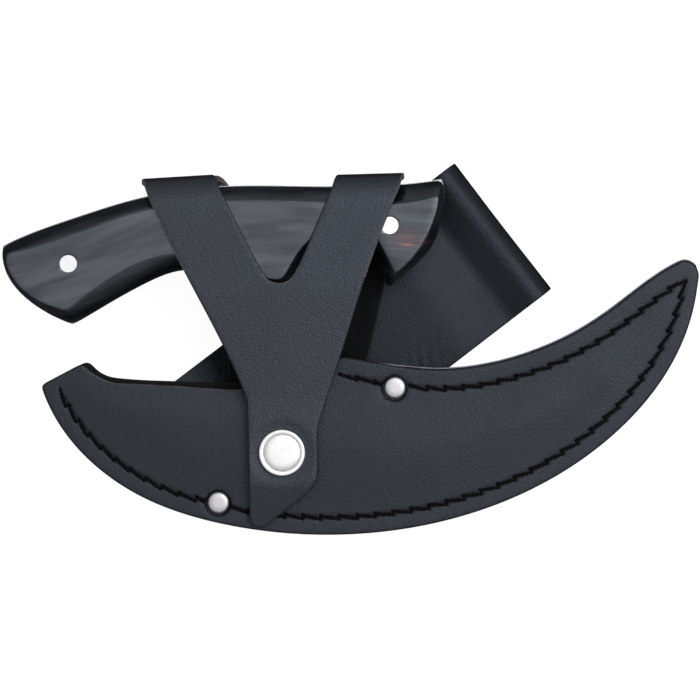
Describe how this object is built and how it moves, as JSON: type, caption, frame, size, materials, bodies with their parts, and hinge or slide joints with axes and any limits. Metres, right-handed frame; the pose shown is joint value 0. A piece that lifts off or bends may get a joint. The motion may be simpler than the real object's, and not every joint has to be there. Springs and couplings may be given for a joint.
{
  "type": "head knife",
  "caption": "Crescent-bladed leather knife with a dark wood handle, in a stitched black leather sheath with a Y-shaped snap strap and a folded belt loop.",
  "frame": {"origin": "under the middle of the whole, on the surface that the belt loop lies on", "axes": "+X along the handle from the butt towards the blade's tip, +Y from the sheath's belly up to the handle, +Z out of the sheath's face"},
  "size_m": [0.1951, 0.1038, 0.0312],
  "materials": {
    "steel_blade": "satin ground steel",
    "dark_wood": "oiled dark hardwood, fine grain with brown streaks",
    "nickel_pin": "ground flush with the wood",
    "black_leather": "smooth dyed vegetable-tanned leather, semi-matte",
    "black_thread": "waxed heavy thread",
    "nickel_fastener": "polished nickel"
  },
  "bodies": {
    "sheath": {"sheath_front_panel": "black_leather", "sheath_back_panel": "black_leather", "sheath_welt": "black_leather", "strap_back": "black_leather", "belt_loop": "black_leather", "edge_thread_front": "black_thread", "edge_thread_back": "black_thread", "strap_thread": "black_thread", "belt_loop_thread": "black_thread", "rivet_cap_left": "nickel_fastener", "rivet_cap_right": "nickel_fastener", "rivet_post_left": "nickel_fastener", "rivet_post_right": "nickel_fastener", "snap_stud": "nickel_fastener", "snap_post": "nickel_fastener"},
    "knife": {"blade": "steel_blade", "handle_scale_front": "dark_wood", "handle_scale_back": "dark_wood", "handle_pin_left": "nickel_pin", "handle_pin_right": "nickel_pin"},
    "strap_bend": {"strap_bends": "black_leather"},
    "flap": {"strap_flap": "black_leather", "snap_cap": "nickel_fastener", "snap_socket": "nickel_fastener"}
  },
  "joints": [
    {"name": "knife_draw", "type": "hinge", "parent": "sheath", "child": "knife", "pos_m": [0.014, 0.061, 0.0203], "axis": [0, 0, -1], "range_deg": [0, 115]},
    {"name": "strap_open", "type": "hinge", "parent": "sheath", "child": "strap_bend", "pos_m": [0, 0.0472, 0.0113], "axis": [-1, 0, 0], "range_deg": [0, 92.5], "deforming": ["strap_bends"]},
    {"name": "strap_unfold", "type": "hinge", "parent": "strap_bend", "child": "flap", "pos_m": [0, 0.0472, 0.0293], "axis": [-1, 0, 0], "range_deg": [0, 92.5]}
  ],
  "couplings": [
    {"joint": "strap_unfold", "follows": "strap_open", "ratio": 1}
  ]
}
